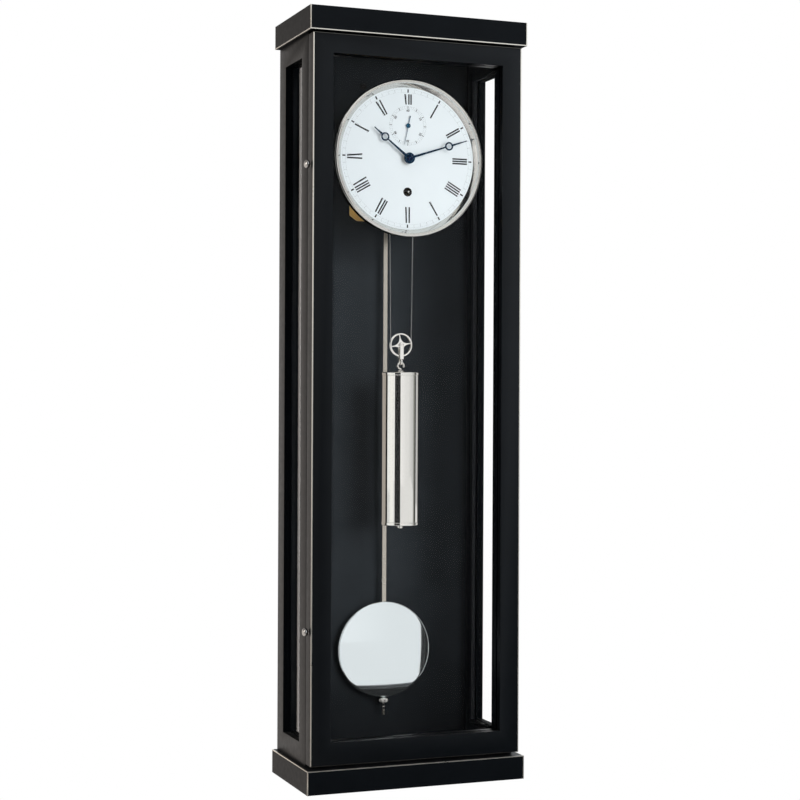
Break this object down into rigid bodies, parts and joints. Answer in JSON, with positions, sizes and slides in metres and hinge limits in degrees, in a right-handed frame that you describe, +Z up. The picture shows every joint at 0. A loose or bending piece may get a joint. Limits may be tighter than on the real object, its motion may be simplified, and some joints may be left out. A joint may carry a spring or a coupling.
{
  "type": "regulator wall clock",
  "caption": "Tall black wall clock with glazed door and sides, white dial, swinging pendulum, and a cable-hung driving weight on a pulley.",
  "frame": {"origin": "centre of the hanger's keyhole, on the face that lies against the wall", "axes": "front faces -Y, +Y points into the wall, +Z is up, +X is to the right of someone facing the dial"},
  "size_m": [0.2885, 0.145, 0.95],
  "materials": {
    "black_lacquer": "satin black lacquer",
    "nickel_trim": "satin nickel",
    "polished_nickel": "polished nickel",
    "clear_glass": "clear float glass",
    "zinc_steel": "bright zinc plated",
    "brass": "brushed and lacquered",
    "steel": "polished",
    "dial_white": "smooth white",
    "blued_steel": "heat blued",
    "black_plastic": "matt black",
    "iron": "as cast"
  },
  "bodies": {
    "case": {"cornice": "black_lacquer", "cornice_trim": "nickel_trim", "plinth": "black_lacquer", "plinth_trim": "nickel_trim", "door_magnets": "zinc_steel", "left_side_frame": "black_lacquer", "right_side_frame": "black_lacquer", "side_glass": "clear_glass", "side_glass_beads": "black_lacquer", "back_panel": "black_lacquer", "wall_hanger": "zinc_steel", "case_hinge_leaves": "zinc_steel", "front_plate": "brass", "back_plate": "brass", "plate_pillars": "brass", "movement_standoffs": "brass", "dial": "dial_white", "winding_grommet": "black_plastic", "bezel": "polished_nickel", "pendulum_cock": "brass", "suspension_spring": "steel", "weight_cable": "steel"},
    "door": {"door_left_stile": "black_lacquer", "door_right_stile": "black_lacquer", "door_rails": "black_lacquer", "door_glass": "clear_glass", "door_glass_beads": "black_lacquer", "door_trim": "nickel_trim", "door_hinge_leaves": "zinc_steel", "door_knobs": "polished_nickel", "door_strikes": "zinc_steel"},
    "drum": {"winding_arbor": "steel", "winding_drum": "brass"},
    "great_wheel": {"great_wheel": "brass"},
    "intermediate": {"intermediate_wheel": "brass", "intermediate_arbor": "steel"},
    "centre": {"centre_wheel": "brass", "centre_arbor": "steel", "cannon_pinion": "brass", "minute_hand": "blued_steel"},
    "third": {"third_wheel": "brass", "third_arbor": "steel"},
    "escape": {"escape_wheel": "brass", "escape_arbor": "steel", "seconds_hand": "blued_steel"},
    "minute_wheel": {"minute_wheel": "brass"},
    "hour": {"hour_wheel": "brass", "hour_hand": "blued_steel"},
    "anchor": {"anchor": "steel", "crutch": "steel"},
    "pendulum": {"pendulum_rod": "polished_nickel", "pendulum_bob": "polished_nickel"},
    "rating_nut": {"rating_nut": "polished_nickel"},
    "weight": {"weight_shell": "polished_nickel", "weight_core": "iron", "weight_caps": "polished_nickel", "weight_hook": "polished_nickel", "pulley_stirrup": "polished_nickel"},
    "pulley": {"pulley": "polished_nickel"}
  },
  "joints": [
    {"name": "door_hinge", "type": "hinge", "parent": "case", "child": "door", "pos_m": [0.14, -0.12, -0.405], "axis": [0, 0, 1], "range_deg": [0, 110]},
    {"name": "hand_turn", "type": "hinge", "parent": "case", "child": "centre", "pos_m": [0, -0.065, -0.1025], "axis": [0, 1, 0], "continuous": true},
    {"name": "hour_turn", "type": "hinge", "parent": "case", "child": "hour", "pos_m": [0, -0.065, -0.1025], "axis": [0, 1, 0], "continuous": true},
    {"name": "minute_wheel_turn", "type": "hinge", "parent": "case", "child": "minute_wheel", "pos_m": [0.01273, -0.065, -0.08977], "axis": [0, 1, 0], "continuous": true},
    {"name": "intermediate_turn", "type": "hinge", "parent": "case", "child": "intermediate", "pos_m": [0.01865, -0.065, -0.1134], "axis": [0, 1, 0], "continuous": true},
    {"name": "great_wheel_turn", "type": "hinge", "parent": "case", "child": "great_wheel", "pos_m": [0, -0.065, -0.1442], "axis": [0, 1, 0], "continuous": true},
    {"name": "third_turn", "type": "hinge", "parent": "case", "child": "third", "pos_m": [-0.00556, -0.065, -0.08181], "axis": [0, 1, 0], "continuous": true},
    {"name": "escape_turn", "type": "hinge", "parent": "case", "child": "escape", "pos_m": [0, -0.065, -0.0615], "axis": [0, 1, 0], "continuous": true},
    {"name": "weight_drop", "type": "slide", "parent": "case", "child": "weight", "axis": [0, 0, 1], "range_m": [-0.25, 0.125], "deforming": ["weight_cable"]},
    {"name": "pulley_spin", "type": "hinge", "parent": "weight", "child": "pulley", "pos_m": [0, -0.079, -0.335], "axis": [0, 1, 0], "range_deg": [-520, 1039]},
    {"name": "drum_turn", "type": "hinge", "parent": "case", "child": "drum", "pos_m": [0, -0.065, -0.1442], "axis": [0, 1, 0], "range_deg": [-896.2, 1791.5]},
    {"name": "pendulum_swing", "type": "hinge", "parent": "case", "child": "pendulum", "pos_m": [0, -0.022, -0.0355], "axis": [0, 1, 0], "range_deg": [-2, 2]},
    {"name": "anchor_rock", "type": "hinge", "parent": "case", "child": "anchor", "pos_m": [0, -0.06, -0.0355], "axis": [0, 1, 0], "range_deg": [-2, 2]},
    {"name": "rating_turn", "type": "hinge", "parent": "pendulum", "child": "rating_nut", "pos_m": [0, -0.022, -0.7932], "axis": [0, 0, 1], "continuous": true}
  ],
  "couplings": [
    {"joint": "hour_turn", "follows": "hand_turn", "ratio": 0.083333},
    {"joint": "minute_wheel_turn", "follows": "hand_turn", "ratio": -0.33333},
    {"joint": "intermediate_turn", "follows": "hand_turn", "ratio": -0.2},
    {"joint": "great_wheel_turn", "follows": "hand_turn", "ratio": 0.04},
    {"joint": "third_turn", "follows": "hand_turn", "ratio": -7.5},
    {"joint": "escape_turn", "follows": "hand_turn", "ratio": 60},
    {"joint": "pulley_spin", "follows": "weight_drop", "rad_per_m": -72.464},
    {"joint": "drum_turn", "follows": "weight_drop", "rad_per_m": -125},
    {"joint": "anchor_rock", "follows": "pendulum_swing", "ratio": 1}
  ]
}
